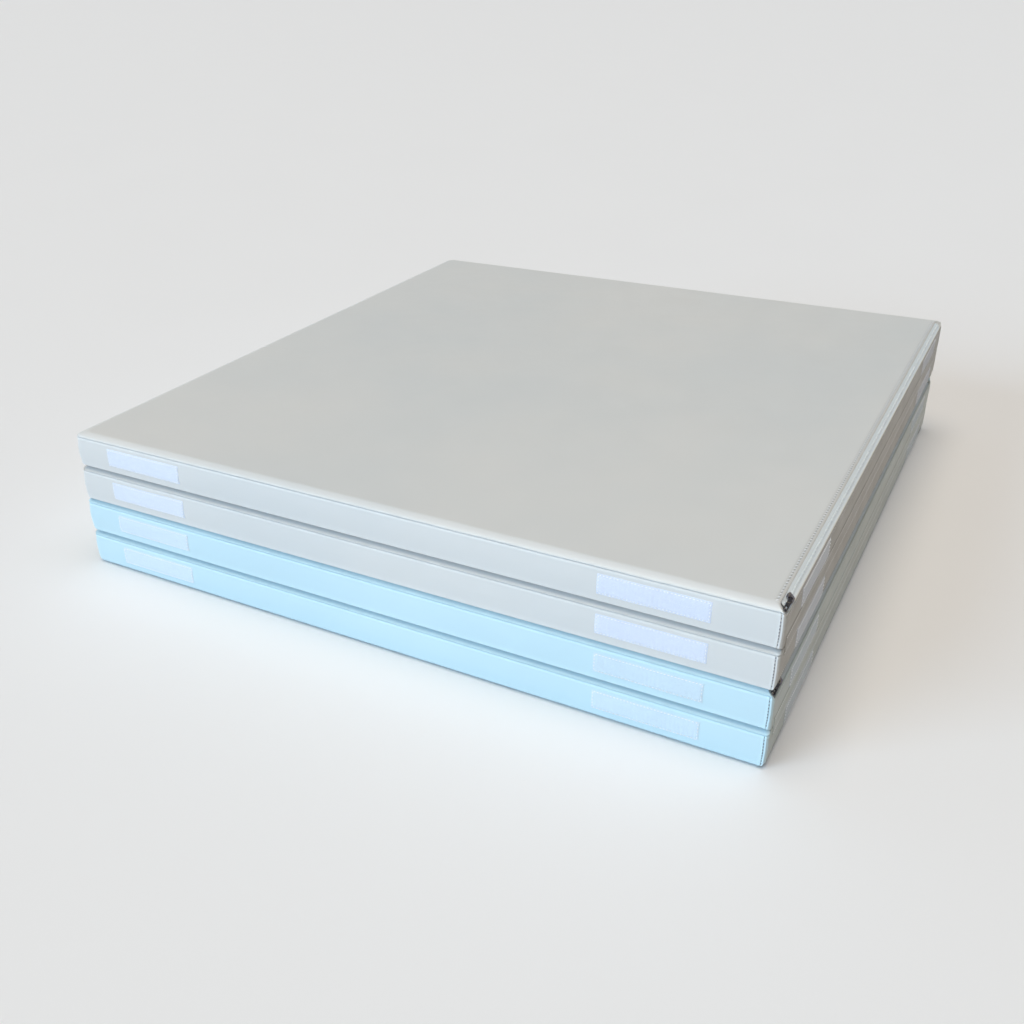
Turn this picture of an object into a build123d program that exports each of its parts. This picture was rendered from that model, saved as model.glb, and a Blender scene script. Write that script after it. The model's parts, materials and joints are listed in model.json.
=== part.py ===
"""A four-panel folding gym mat, folded up as an accordion.

X runs across the panels, Y along the folds and Z up. The origin is on the floor, under the
middle of the folded stack. Panel 1 is on top and panel 4 lies on the floor. Panels 1 and 2
fold about the right side, panels 2 and 3 about the left, and panels 3 and 4 about the right.
All sizes are in millimetres.
"""

import math
import os

from build123d import *

# Folded size
FOLD_SPAN = 1000.0  # X, from the left fold axis to the right fold axis
STACK_DEPTH = 1070.0  # Y, over the hook-and-loop strips
PANEL_THICKNESS = 51.2  # a 50 mm class foam core in its cover
PANEL_GAP = 0.4  # between the covers of two folded panels

# Cover and core
COVER_THICKNESS = 0.6
CORE_CLEARANCE = 0.15  # between the cover and the core, all round
SIDE_SETBACK = 2.5  # from a fold axis back to the side of the panels
CORNER_RADIUS = 12.0  # upright corners, seen from above
TOP_RADIUS = 6.0  # the top sheet rolls over to the seam
BOTTOM_RADIUS = 8.0  # the bands roll under to the bottom sheet

# Hook-and-loop strips
STRIP_LENGTH = 130.0
STRIP_HEIGHT = 27.0
STRIP_THICKNESS = 2.0
STRIP_INSET_LEFT = 65.0  # from the left fold axis to the strips on the front and back
STRIP_INSET_RIGHT = 77.0  # from the right fold axis to the strips on the front and back
STRIP_INSET_SIDE = 70.0  # from the front and back faces to the strips on the sides

# Fold hinges, one band of cover material sewn over each fold
HINGE_BAND_REACH = 9.0  # from the fold axis up and down
HINGE_BAND_THICKNESS = 0.6
HINGE_BAND_CLEARANCE = 0.05

# Zip, along the slanted edge of every panel
ZIP_LEG = 12.0  # leg of the slant that the zip lies on
CORE_LEG = 17.0  # leg of the core's slant, which leaves room for the slider
ZIP_OPENING = 16.4  # across the slant
ZIP_END_MARGIN = 14.0  # from the front and back faces to the ends of the zip
TAPE_THICKNESS = 0.6
TAPE_SINK = 0.1  # the tape's face lies this far under the slant
TAPE_EDGE_CLEARANCE = 0.1
COIL_GAP = 1.2  # between the two halves, for the slider's post
COIL_WIDTH = 1.8
COIL_HEIGHT = 1.3
STOP_LENGTH = 3.0
STOP_WIDTH = 2.4
STOP_HEIGHT = 1.7
SLIDER_LENGTH = 11.0
SLIDER_WIDTH = 9.0
SLIDER_TOP_FROM = 1.7  # underside of the upper plate, over the slant
SLIDER_TOP_PLATE = 1.0
SLIDER_FLANGE = 0.7
SLIDER_FLANGE_FROM = 0.4
SLIDER_BOTTOM_FROM = -2.4
SLIDER_BOTTOM_PLATE = 1.2
SLIDER_POST_WIDTH = 0.6
SLIDER_POST_LENGTH = 4.0
SLIDER_REST = -501.0  # Y of the slider's middle with the zip closed, near the front corner
LUG_WIDTH = 0.8
LUG_GAP = 2.6
LUG_LENGTH = 3.0
PIN_OFFSET = -2.0  # Y of the puller's pin from the slider's middle
PIN_HEIGHT = 3.7  # over the slant
PIN_RADIUS = 0.5
PIN_HOLE_RADIUS = 0.6
PULLER_LENGTH = 28.0
PULLER_THICKNESS = 1.2
PULLER_EYE_WIDTH = 2.2
PULLER_WIDTH = 5.0
PULLER_NECK = 5.0
PULLER_TIP_RADIUS = 2.0
PULLER_SLOT_LENGTH = 7.0
PULLER_SLOT_WIDTH = 2.4

# Worked out from the sizes above
PITCH = PANEL_THICKNESS + PANEL_GAP
SIDE_X = FOLD_SPAN / 2 - SIDE_SETBACK
FACE_Y = STACK_DEPTH / 2 - STRIP_THICKNESS
SEAM_Z = PANEL_THICKNESS - TOP_RADIUS
ZIP_HALF_LENGTH = FACE_Y - ZIP_END_MARGIN
CORE_INSET = COVER_THICKNESS + CORE_CLEARANCE
BIG = 2 * STACK_DEPTH



def level(panel):
    """Height of a panel's underside in the folded stack."""
    return (4 - panel) * PITCH


def zip_is_low(panel):
    """The zip is on the right edge away from the fold: low on panels 2 and 4."""
    return panel in (2, 4)


def zip_frame(panel):
    """From the zip's frame to the panel's, which has its origin under the panel's middle.

    In the zip's frame X is across the tape, Y along it and Z straight out of the slanted
    edge. A low zip is the same zip turned half round about X, so its slider is at the back.
    """
    frame = Pos(SIDE_X - ZIP_LEG / 2, 0, PANEL_THICKNESS - ZIP_LEG / 2) * Rot(0, 45, 0)
    if zip_is_low(panel):
        return Pos(0, 0, PANEL_THICKNESS) * Rot(180, 0, 0) * frame
    return frame


def slab(x, y, z):
    """A box from three (low, high) pairs."""
    size = [high - low for low, high in (x, y, z)]
    middle = [(high + low) / 2 for low, high in (x, y, z)]
    return Pos(*middle) * Box(*size)


def corner(sketch, side, height):
    """The corner of an upright sketch: side is -1 left or 1 right, height -1 low or 1 high."""
    return max(sketch.vertices(), key=lambda v: side * v.X + height * v.Y)


def side_profile(panel, inset, leg):
    """The panel seen along the folds, with a slant on the right for the zip.

    The edges that lie at a fold stay square: the other right edge, the lower left edge of
    panel 2 and the upper left edge of panel 3.
    """
    profile = Rectangle(2 * (SIDE_X - inset), PANEL_THICKNESS - 2 * inset)
    profile = chamfer(corner(profile, 1, -1 if zip_is_low(panel) else 1), leg)
    if panel != 2:
        profile = fillet(corner(profile, -1, -1), BOTTOM_RADIUS - inset)
    if panel != 3:
        profile = fillet(corner(profile, -1, 1), TOP_RADIUS - inset)
    return profile


def front_profile(inset):
    """The panel seen across the folds, rolled over at the top and under at the bottom."""
    profile = Rectangle(2 * (FACE_Y - inset), PANEL_THICKNESS - 2 * inset)
    for side in (-1, 1):
        profile = fillet(corner(profile, side, 1), TOP_RADIUS - inset)
        profile = fillet(corner(profile, side, -1), BOTTOM_RADIUS - inset)
    return profile


def block(panel, inset, leg):
    """The panel's outer shape, shrunk by inset on every side."""
    outline = RectangleRounded(2 * (SIDE_X - inset), 2 * (FACE_Y - inset), CORNER_RADIUS - inset)
    middle = Pos(0, 0, PANEL_THICKNESS / 2)
    upright = extrude(outline, BIG, both=True)
    along = extrude(Plane.XZ * side_profile(panel, inset, leg), BIG, both=True)
    across = extrude(Plane.YZ * front_profile(inset), BIG, both=True)
    return middle * (upright & along & across)


def cover_pieces(panel):
    """The cover, cut along its seams into two sheets and four bands."""
    inner_leg = ZIP_LEG - COVER_THICKNESS * (2 - math.sqrt(2))
    shell = block(panel, 0, ZIP_LEG) - block(panel, COVER_THICKNESS, inner_leg)
    opening = Box(ZIP_OPENING, 2 * ZIP_HALF_LENGTH, 4 * COVER_THICKNESS)
    shell -= zip_frame(panel) * opening

    wide = (-BIG, BIG)
    flat_x = SIDE_X - CORNER_RADIUS
    flat_y = FACE_Y - CORNER_RADIUS
    under_x = SIDE_X - BOTTOM_RADIUS
    under_y = FACE_Y - BOTTOM_RADIUS
    above_seam = slab(wide, wide, (SEAM_Z, BIG))
    underside = slab((-under_x, under_x), (-under_y, under_y), (-1, 2 * COVER_THICKNESS))
    top = shell & above_seam
    bottom = shell & underside
    ring = shell - above_seam - underside
    # The front and back bands go round the left corners, and the right band round the right.
    front_cut = slab((-BIG, flat_x), (-BIG, -flat_y), wide)
    back_cut = slab((-BIG, flat_x), (flat_y, BIG), wide)
    sides = ring - front_cut - back_cut
    return {
        "top_sheet": top,
        "bottom_sheet": bottom,
        "front_band": ring & front_cut,
        "back_band": ring & back_cut,
        "left_band": sides & slab((-BIG, 0), wide, wide),
        "right_band": sides & slab((0, BIG), wide, wide),
    }


def zip_tape():
    """The two woven tapes, with the slit between them that the slider's post runs in."""
    inner = COIL_GAP / 2
    outer = ZIP_OPENING / 2 - TAPE_EDGE_CLEARANCE
    length = ZIP_HALF_LENGTH - TAPE_EDGE_CLEARANCE
    thick = (-TAPE_SINK - TAPE_THICKNESS, -TAPE_SINK)
    right = slab((inner, outer), (-length, length), thick)
    left = slab((-outer, -inner), (-length, length), thick)
    return [left, right]


def stop_row(end):
    """Y limits of the stops at one end of the zip, -1 front or 1 back."""
    outer = end * (ZIP_HALF_LENGTH - 2)
    return sorted((outer, outer - end * STOP_LENGTH))


def zip_coil():
    """The two halves of the coil, one on each tape, between the end stops."""
    inner = COIL_GAP / 2
    reach = stop_row(1)[0]
    span = (-reach, reach)
    tall = (-TAPE_SINK, COIL_HEIGHT - TAPE_SINK)
    right = slab((inner, inner + COIL_WIDTH), span, tall)
    left = slab((-inner - COIL_WIDTH, -inner), span, tall)
    return [left, right]


def zip_stops():
    """A moulded stop on each tape at both ends."""
    inner = COIL_GAP / 2
    stops = []
    for end in (-1, 1):
        for side in (-1, 1):
            across = sorted((side * inner, side * (inner + STOP_WIDTH)))
            stops.append(slab(across, stop_row(end), (-TAPE_SINK, STOP_HEIGHT - TAPE_SINK)))
    return stops


def zip_slider():
    """Two plates joined by a post, with flanges round the coil and lugs for the puller."""
    half = SLIDER_WIDTH / 2
    top = SLIDER_TOP_FROM + SLIDER_TOP_PLATE
    upper = Pos(0, 0, SLIDER_TOP_FROM) * extrude(
        RectangleRounded(SLIDER_WIDTH, SLIDER_LENGTH, 2), SLIDER_TOP_PLATE
    )
    lower = Pos(0, 0, SLIDER_BOTTOM_FROM) * extrude(
        RectangleRounded(SLIDER_WIDTH, SLIDER_LENGTH, 2), SLIDER_BOTTOM_PLATE
    )
    straight = SLIDER_LENGTH / 2 - 2
    post = slab(
        (-SLIDER_POST_WIDTH / 2, SLIDER_POST_WIDTH / 2),
        (-SLIDER_POST_LENGTH / 2, SLIDER_POST_LENGTH / 2),
        (SLIDER_BOTTOM_FROM + SLIDER_BOTTOM_PLATE / 2, top - SLIDER_TOP_PLATE / 2),
    )
    slider = upper + lower + post
    for side in (-1, 1):
        across = sorted((side * half, side * (half - SLIDER_FLANGE)))
        flange = slab(across, (-straight, straight), (SLIDER_FLANGE_FROM, top))
        inner = side * LUG_GAP / 2
        lug_across = sorted((inner, inner + side * LUG_WIDTH))
        along = (PIN_OFFSET - LUG_LENGTH / 2, PIN_OFFSET + LUG_LENGTH / 2)
        lug = slab(lug_across, along, (top - SLIDER_TOP_PLATE / 2, PIN_HEIGHT + 1.1))
        slider += flange + lug
    hole = Pos(0, PIN_OFFSET, PIN_HEIGHT) * Rot(0, 90, 0) * Cylinder(PIN_HOLE_RADIUS, BIG)
    return Pos(0, SLIDER_REST, 0) * (slider - hole)


def zip_puller():
    """A flat tab with a slot, on a pin between the slider's lugs, lying towards the front."""
    pin_length = LUG_GAP + 2 * LUG_WIDTH
    pin = Rot(0, 90, 0) * Cylinder(PIN_RADIUS, pin_length)
    eye = Rot(0, 90, 0) * Cylinder(PULLER_THICKNESS / 2 + 0.2, PULLER_EYE_WIDTH)
    low = (-PULLER_THICKNESS / 2, PULLER_THICKNESS / 2)
    half_eye = PULLER_EYE_WIDTH / 2
    neck = slab((-half_eye, half_eye), (-PULLER_NECK, 0), low)
    tab_length = PULLER_LENGTH - PULLER_NECK + 1
    tab = extrude(
        RectangleRounded(PULLER_WIDTH, tab_length, PULLER_TIP_RADIUS),
        PULLER_THICKNESS / 2,
        both=True,
    )
    slot = Box(PULLER_SLOT_WIDTH, PULLER_SLOT_LENGTH, BIG)
    tab -= Pos(0, -tab_length / 2 + PULLER_SLOT_LENGTH / 2 + 2.5, 0) * slot
    tab = Pos(0, -PULLER_LENGTH + tab_length / 2, 0) * tab
    return Pos(0, SLIDER_REST + PIN_OFFSET, PIN_HEIGHT) * (pin + eye + neck + tab)


def strip(panel, side, near_first):
    """One hook-and-loop strip in the folded stack, flat against its band.

    near_first picks the strip nearer the left on the front and back, or nearer the front on
    the left and right sides.
    """
    middle = level(panel) + PANEL_THICKNESS / 2
    tall = (middle - STRIP_HEIGHT / 2, middle + STRIP_HEIGHT / 2)
    if side in ("front", "back"):
        start = STRIP_INSET_LEFT - FOLD_SPAN / 2
        if not near_first:
            start = FOLD_SPAN / 2 - STRIP_INSET_RIGHT - STRIP_LENGTH
        face = sorted((FACE_Y, FACE_Y + STRIP_THICKNESS))
        if side == "front":
            face = (-face[1], -face[0])
        return slab((start, start + STRIP_LENGTH), face, tall)
    start = STRIP_INSET_SIDE - FACE_Y
    if not near_first:
        start = FACE_Y - STRIP_INSET_SIDE - STRIP_LENGTH
    face = (SIDE_X, SIDE_X + STRIP_THICKNESS)
    if side == "left":
        face = (-face[1], -face[0])
    return slab(face, (start, start + STRIP_LENGTH), tall)


def fold_hinge(upper_panel, side):
    """The band that joins two panels over their fold; side is -1 left or 1 right."""
    axis_z = level(upper_panel) - PANEL_GAP / 2
    inner = SIDE_X + HINGE_BAND_CLEARANCE
    across = sorted((side * inner, side * (inner + HINGE_BAND_THICKNESS)))
    reach = FACE_Y - CORNER_RADIUS
    return slab(across, (-reach, reach), (axis_z - HINGE_BAND_REACH, axis_z + HINGE_BAND_REACH))


def save(name, solids):
    """Write one node, a single solid or a group of separate ones."""
    group = solids if isinstance(solids, list) else [solids]
    shape = group[0] if len(group) == 1 else Compound(children=group)
    shape.label = name
    export_step(shape, f"parts/{name}.step")


def build_panel(panel):
    """All nodes of one panel."""
    to_stack = Pos(0, 0, level(panel))
    name = f"panel_{panel}"
    save(f"{name}_foam_core", to_stack * block(panel, CORE_INSET, CORE_LEG))
    for piece, solid in cover_pieces(panel).items():
        save(f"{name}_{piece}", to_stack * solid)
    groups = {
        "zip_tape": zip_tape(),
        "zip_coil": zip_coil(),
        "zip_stops": zip_stops(),
        "zip_slider": [zip_slider()],
        "zip_puller": [zip_puller()],
    }
    for piece, solids in groups.items():
        save(f"{name}_{piece}", [to_stack * zip_frame(panel) * solid for solid in solids])
    save(f"{name}_loop_strips", [strip(panel, *spot) for spot in LOOP_SPOTS])
    save(f"{name}_hook_strips", [strip(panel, *spot) for spot in HOOK_SPOTS])


# Opposite sides carry opposite kinds, so that a second mat sticks to any side.
LOOP_SPOTS = [("front", True), ("back", False), ("right", True), ("left", False)]
HOOK_SPOTS = [("front", False), ("back", True), ("right", False), ("left", True)]

# Each fold: its upper panel and the side that it is on.
FOLDS = {"fold_hinge_1_2": (1, 1), "fold_hinge_2_3": (2, -1), "fold_hinge_3_4": (3, 1)}

os.makedirs("parts", exist_ok=True)
for number in (1, 2, 3, 4):
    build_panel(number)
for hinge_name, (upper, fold_side) in FOLDS.items():
    save(hinge_name, fold_hinge(upper, fold_side))
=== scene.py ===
"""Looks of the folding gym mat: four padded panels in vinyl covers, with zips and joining strips.

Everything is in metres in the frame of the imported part: X across the panels, Y along the folds,
Z up, with the origin on the floor under the middle of the folded stack. Panel 1 is on top.
"""

import json
import math

import bmesh
import bpy
import numpy as np
from mathutils import Matrix, Vector
from mathutils.bvhtree import BVHTree

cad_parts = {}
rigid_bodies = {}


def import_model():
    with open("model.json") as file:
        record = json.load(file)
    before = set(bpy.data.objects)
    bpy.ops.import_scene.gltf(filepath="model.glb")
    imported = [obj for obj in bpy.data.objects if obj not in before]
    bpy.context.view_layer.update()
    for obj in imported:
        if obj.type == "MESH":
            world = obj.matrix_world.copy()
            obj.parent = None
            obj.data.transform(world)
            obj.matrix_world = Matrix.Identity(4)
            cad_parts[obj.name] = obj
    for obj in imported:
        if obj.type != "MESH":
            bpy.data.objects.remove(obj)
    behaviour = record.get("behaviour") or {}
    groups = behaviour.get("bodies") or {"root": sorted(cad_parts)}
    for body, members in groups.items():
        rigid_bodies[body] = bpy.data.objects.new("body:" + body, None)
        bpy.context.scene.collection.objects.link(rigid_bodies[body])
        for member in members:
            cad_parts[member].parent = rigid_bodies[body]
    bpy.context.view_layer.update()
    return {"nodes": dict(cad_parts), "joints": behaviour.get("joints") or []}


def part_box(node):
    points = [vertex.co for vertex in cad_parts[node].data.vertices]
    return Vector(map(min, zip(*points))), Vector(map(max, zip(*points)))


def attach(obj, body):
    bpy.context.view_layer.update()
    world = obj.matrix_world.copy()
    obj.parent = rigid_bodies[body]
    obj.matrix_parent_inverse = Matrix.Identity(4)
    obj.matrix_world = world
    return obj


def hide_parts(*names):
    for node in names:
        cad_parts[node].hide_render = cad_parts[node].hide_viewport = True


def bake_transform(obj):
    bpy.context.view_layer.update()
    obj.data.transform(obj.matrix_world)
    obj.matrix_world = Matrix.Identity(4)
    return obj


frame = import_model()

MM = 0.001
ALONG = np.array([0, 1.0, 0])
PANELS = (1, 2, 3, 4)
GREY_PANELS = (1, 2)
SIDES = ("front", "right", "back", "left")
COVER_PIECES = ("top_sheet", "bottom_sheet", "front_band", "back_band", "left_band", "right_band")

# Cover outline, seen from above
CORNER_RADII = (5 * MM, 5 * MM, 12 * MM, 12 * MM)  # front right, back right, back left, front left
CORNER_STEPS = 18
EDGE_ZONE = 45 * MM  # how far in from the sides the edge profiles reach
STATION_STEP = 5 * MM
FINE_STEP = 0.7 * MM  # beside the upright corner seams
FINE_REACH = 8 * MM
INNER_RINGS = [60 * MM, 80 * MM, 105 * MM, 140 * MM, 190 * MM, 250 * MM, 320 * MM, 400 * MM, 465 * MM]

# Cover profile, seen along a side
SEAM_DROP = 6 * MM  # the seam lies this far under the top
TOP_ROLLS = {1: 17 * MM, 2: 8 * MM, 3: 7 * MM, 4: 8 * MM}  # width of the top's soft rounding
PRESSED_SLANT = 0.75  # how far the panel above flattens the rounding into a slant
BOTTOM_ROLLS = {1: (7 * MM, 5 * MM), 2: (5 * MM, 3.5 * MM), 3: (6 * MM, 4.5 * MM), 4: (8 * MM, 7 * MM)}
LEFT_BOTTOM_ROLL = (17 * MM, 17 * MM)
LEFT_REACH = 0.7 * MM  # the left side stays short of the plane where unfolded panels meet
FOLD_EDGE_RADII = {"right": 2.5 * MM, "left": 6 * MM}
BAND_BULGE = {"front": 0.9 * MM, "right": 0.15 * MM, "back": 0.9 * MM, "left": 0.6 * MM}
LEFT_DRAW = 3.5 * MM  # the left side leans in towards its top seam
GROOVE_DEPTH = 0.9 * MM
GROOVE_HALF_WIDTH = 0.42 * MM
LIP_HEIGHT = 0.6 * MM
LIP_REACH = 1.6 * MM
EDGE_POINTS = 26
BAND_POINTS = 14

# Zip, on a 45 degree slant along the right edge
ZIP_LEG = 12 * MM
ZIP_OPENING = 11.4 * MM  # between the hems that lap over the tapes
HEM_RISE = 0.55 * MM  # the hems lie over the tapes
TAPE_EDGE = 7.4 * MM  # from the middle of the zip out to a tape's edge
TAPE_COLUMNS = 12
ZIP_RECESS = 2.95 * MM
SHUT_RECESS = 0.3 * MM  # past the zip's ends
ZIP_END_MARGIN = 14 * MM
ZIP_CLOSING = 4 * MM  # length over which the recess closes past the zip's ends
TAPE_SINK = 0.1 * MM
TAPE_THICKNESS = 0.6 * MM
TAPE_SLIT = 0.25 * MM
COIL_PITCH = 1.25 * MM
COIL_HALF_WIDTH = 1.25 * MM
COIL_RISE = 0.9 * MM
COIL_WIRE = 0.32 * MM
STOP_MARGIN = 5.5 * MM

# Stitching
HEM_PITCH = 6.5 * MM
HEM_SETBACK = 1.6 * MM  # from the zip's slant in to the row of stitches
HEM_DIP = 0.35 * MM
HEM_ROW = ZIP_LEG + HEM_SETBACK  # from the panel's edge
CORNER_PITCH = 4 * MM
STRIP_PITCH = 4 * MM
STRIP_SEWING = 2.4 * MM  # from the strip's edge
CLEAR = 8 * MM  # looks at the cover start this far outside it
HEM_CLEAR = 5 * MM  # the same for the row on the flat face

# Joining strips
STRIP_GRID = 1.25 * MM
STRIP_RISE = 0.55 * MM
STRIP_EDGE = 1.3 * MM
STRIP_RIM = 0.1 * MM  # nearer the edge than this is the ragged rim

# Fold hinges
HINGE_REACH = 11.3 * MM
HINGE_THICKNESS = 0.6 * MM
HINGE_BLEND = 3 * MM
HINGE_LIFT = 0.62 * MM  # of the band's face over the sides of the panels

# Cloth simulation
SIM_STATION_GAP = 13 * MM
SIM_COLUMN_STEP = 3
SIM_FRAMES = 20
SIM_PRESSURE = 4.0
SIM_CAP = 2.4 * MM
SIM_SLACK = -0.012  # up to this share larger than the foam, unevenly
PRESSED_FOOT = 9 * MM  # what is under the panel keeps the cloth in place up to this height
PRESSED_HOLD = 0.97
RIGHT_HOLD = 0.92  # the hinges and the zip keep the right side flat

# Marks: dark seam lines, wear with a painted highlight, and painted shade in the crevices and on the right
# side
SEAM_MARK = 0.4
HEM_MARK = 0.8
CREASE_SHADE = 1.3  # painted shade where panels are pressed together
FOOT_SHADE = {1: 1.15, 2: 0.9, 3: 1.05, 4: 0.3}  # painted shade under the lower edges, in the crevices between panels
SIDE_SHADE_REACH = {1: 1 * MM, 2: 13.5 * MM, 3: 13.5 * MM, 4: 13.5 * MM}  # painted shade on the right side reaches this far in over the right edges
RIGHT_STRIP_SHADE = (0.33, 0.29, 0.23)  # painted shade colour of the strips on the right side


# ---- small helpers


def smoothstep(value):
    value = np.clip(value, 0, 1)
    return value * value * (3 - 2 * value)


def wobble(along, wavelength, seed, loop=None):
    """Smooth uneven waves from -1 to 1. With loop, the waves close on themselves at that length."""
    rng = np.random.default_rng(seed)
    total = np.zeros_like(along, dtype=float)
    terms = 6
    for _ in range(terms):
        rate = rng.uniform(0.6, 1.6) / wavelength
        if loop:
            rate = max(1, round(rate * loop)) / loop
        total += np.sin(2 * np.pi * (rate * along + rng.random()))
    return total / (0.75 * terms)


def grid_faces(rows, columns, wrap=False, start=0):
    faces = []
    for i in range(rows if wrap else rows - 1):
        here, after = start + i * columns, start + (i + 1) % rows * columns
        for j in range(columns - 1):
            faces.append((here + j, after + j, after + j + 1, here + j + 1))
    return faces


def new_piece(name, vertices, faces, material=None):
    mesh = bpy.data.meshes.new(name)
    mesh.from_pydata(np.asarray(vertices, float).reshape(-1, 3).tolist(), [], faces)
    work = bmesh.new()
    work.from_mesh(mesh)
    bmesh.ops.recalc_face_normals(work, faces=work.faces)
    work.to_mesh(mesh)
    work.free()
    mesh.shade_smooth()
    piece = bpy.data.objects.new(name, mesh)
    bpy.context.scene.collection.objects.link(piece)
    if material:
        mesh.materials.append(material)
    return piece


def bell(offset, width):
    """1 at the middle, falling away smoothly over the width."""
    return np.exp(-((offset / width) ** 2))


def paint(piece, attribute, values):
    """Stores one number per vertex for the material to read."""
    layer = piece.data.attributes.new(attribute, "FLOAT", "POINT")
    layer.data.foreach_set("value", np.asarray(values, np.float32).ravel())


def slab_mesh(front, back, start=0):
    """Faces of a closed slab between two grids of the same size, front's vertices first."""
    rows, columns = front.shape[:2]
    count = rows * columns
    faces = grid_faces(rows, columns, start=start)
    faces += grid_faces(rows, columns, start=start + count)
    grid = np.arange(count).reshape(rows, columns)
    rim = np.concatenate([grid[:, 0], grid[-1, 1:], grid[-2::-1, -1], grid[0, -2:0:-1]]).tolist()
    for a, b in zip(rim, rim[1:] + rim[:1]):
        faces.append((start + a, start + b, start + count + b, start + count + a))
    vertices = np.concatenate([front.reshape(-1, 3), back.reshape(-1, 3)])
    return vertices, faces


def tube_faces(rings, sides):
    """Faces of a tube with closed ends, ring after ring."""
    faces = []
    for ring in range(rings - 1):
        for k in range(sides):
            a, b = ring * sides + k, ring * sides + (k + 1) % sides
            faces.append((a, b, b + sides, a + sides))
    faces.append(tuple(range(sides)))
    faces.append(tuple((rings - 1) * sides + k for k in range(sides)))
    return faces


def joined(parts):
    """One list of vertices and faces from several (vertices, faces) that each count from 0."""
    vertices, faces, start = [], [], 0
    for part_vertices, part_faces in parts:
        vertices.append(part_vertices)
        faces += [tuple(start + v for v in face) for face in part_faces]
        start += len(part_vertices)
    return np.concatenate(vertices), faces


def joined_piece(name, parts, material):
    return new_piece(name, *joined(parts), material)


# ---- frame


def panel_box(panel):
    boxes = [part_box(f"panel_{panel}_{piece}") for piece in COVER_PIECES]
    low = np.min([box[0] for box in boxes], axis=0)
    high = np.max([box[1] for box in boxes], axis=0)
    return low, high


def zip_is_high(panel):
    """The zip is on the right edge away from the fold: high on panels 1 and 3."""
    return panel in (1, 3)


def edge_kind(panel, side, high):
    if side in ("right", "right_end"):
        return "zip" if high == zip_is_high(panel) else "square"
    if side == "left" and (panel, high) in ((2, False), (3, True)):
        return "square"
    return "roll"


# ---- cover lattice


def groove(offset):
    """Depth of a sewn seam at a distance from its line, with a puffed lip on each side."""
    lips = LIP_HEIGHT * bell(np.abs(offset) - LIP_REACH, 0.6 * LIP_REACH)
    return GROOVE_DEPTH * bell(offset, GROOVE_HALF_WIDTH) - lips


def straight_steps(length, fine_start, fine_end):
    """Distances along a straight side, closer together where a corner seam is."""
    fine = np.arange(0, FINE_REACH, FINE_STEP)
    first = fine if fine_start else np.array([0.0])
    last = length - fine[::-1] if fine_end else np.array([length])
    gap = last[0] - first[-1]
    middle = np.linspace(first[-1], last[0], max(3, int(gap / STATION_STEP)))
    return np.concatenate([first, middle[1:-1], last]) / length


class Outline:
    """Stations round a panel, seen from above: each moves in from the side as inset grows.

    weights holds, for every station, how much of each side's profile it has.
    """

    def __init__(self, half_x, half_y):
        self.half = (half_x, half_y)
        stations, self.corner_seams = [], []
        for index, side in enumerate(SIDES):
            stations += self.straight(index)
            if side == "front":
                self.corner_seams.append(len(stations))
            stations += self.corner(index)
            if side == "right":
                self.corner_seams.append(len(stations))
        self.points, self.moves, self.weights = map(np.array, zip(*stations))
        steps = np.linalg.norm(np.roll(self.points, -1, 0) - self.points, axis=1)
        self.along = np.concatenate([[0], np.cumsum(steps)[:-1]])
        self.length = steps.sum()

    def corner_centre(self, index):
        """Centre of the corner after side index, and the way it moves with the inset."""
        sign = np.array([(1, -1), (1, 1), (-1, 1), (-1, -1)][index], float)
        return sign * (np.array(self.half) - CORNER_RADII[index]), -sign

    def straight(self, index):
        """(point, move, weights) of the stations along a side."""
        outward = np.array([(0, -1), (1, 0), (0, 1), (-1, 0)][index], float)
        last = (index + 3) % 4
        before, move_before = self.corner_centre(last)
        after, move_after = self.corner_centre(index)
        start, end = before + CORNER_RADII[last] * outward, after + CORNER_RADII[index] * outward
        side = SIDES[index]
        seams = side in ("right", "back"), side in ("front", "right")
        for share in straight_steps(np.linalg.norm(end - start), *seams)[:-1]:
            move = move_before + share * (move_after - move_before)
            yield start + share * (end - start), move, np.eye(4)[index]

    def corner(self, index):
        """(point, move, weights) of the stations round the corner after a side."""
        centre, move = self.corner_centre(index)
        this, following = np.eye(4)[[index, (index + 1) % 4]]
        first_angle = math.radians(-90 + 90 * index)
        for share in np.linspace(0, 1, CORNER_STEPS, endpoint=False):
            angle = first_angle + share * math.pi / 2
            outward = np.array([math.cos(angle), math.sin(angle)])
            turn = float(smoothstep(share))
            yield centre + CORNER_RADII[index] * outward, move, (1 - turn) * this + turn * following


def roll_edge(reach, drop, seam, slant=0.0):
    """(inset, depth under the surface) from the edge zone out over a soft rounding.

    With a seam, the last points cross it; without one they run on down the band.
    """
    flat = np.linspace(EDGE_ZONE, reach, 5)[:-1]
    tail = 9 if seam else 2
    turn = np.radians(np.linspace(0, 84, EDGE_POINTS - len(flat) - tail))
    inset = np.concatenate([flat, reach * (1 - np.sin(turn))])
    round_depth = drop * (1 - np.cos(turn))
    depth = np.concatenate([np.zeros(len(flat)), (1 - slant) * round_depth + slant * drop * np.sin(turn)])
    if seam:
        offsets = np.array([-1.5, -0.9, -0.5, -0.22, 0, 0.22, 0.5, 0.9, 1.5]) * 1.2 * MM
        tail_inset, tail_depth = groove(offsets), drop + 0.6 * MM + offsets
    else:
        tail_inset, tail_depth = np.zeros(2), drop + np.array([0.5, 2.0]) * MM
    return np.concatenate([inset, tail_inset]), np.concatenate([depth, tail_depth])


def square_edge(radius):
    """A tight edge, where a fold hinge goes over it."""
    flat = np.linspace(EDGE_ZONE, radius, 9)[:-1]
    turn = np.radians(np.linspace(0, 90, 11))
    rest = EDGE_POINTS - len(flat) - len(turn)
    inset = np.concatenate([flat, radius * (1 - np.sin(turn)), np.zeros(rest)])
    below = radius + np.linspace(1, 6, rest) * MM
    return inset, np.concatenate([np.zeros(len(flat)), radius * (1 - np.cos(turn)), below])


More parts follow.
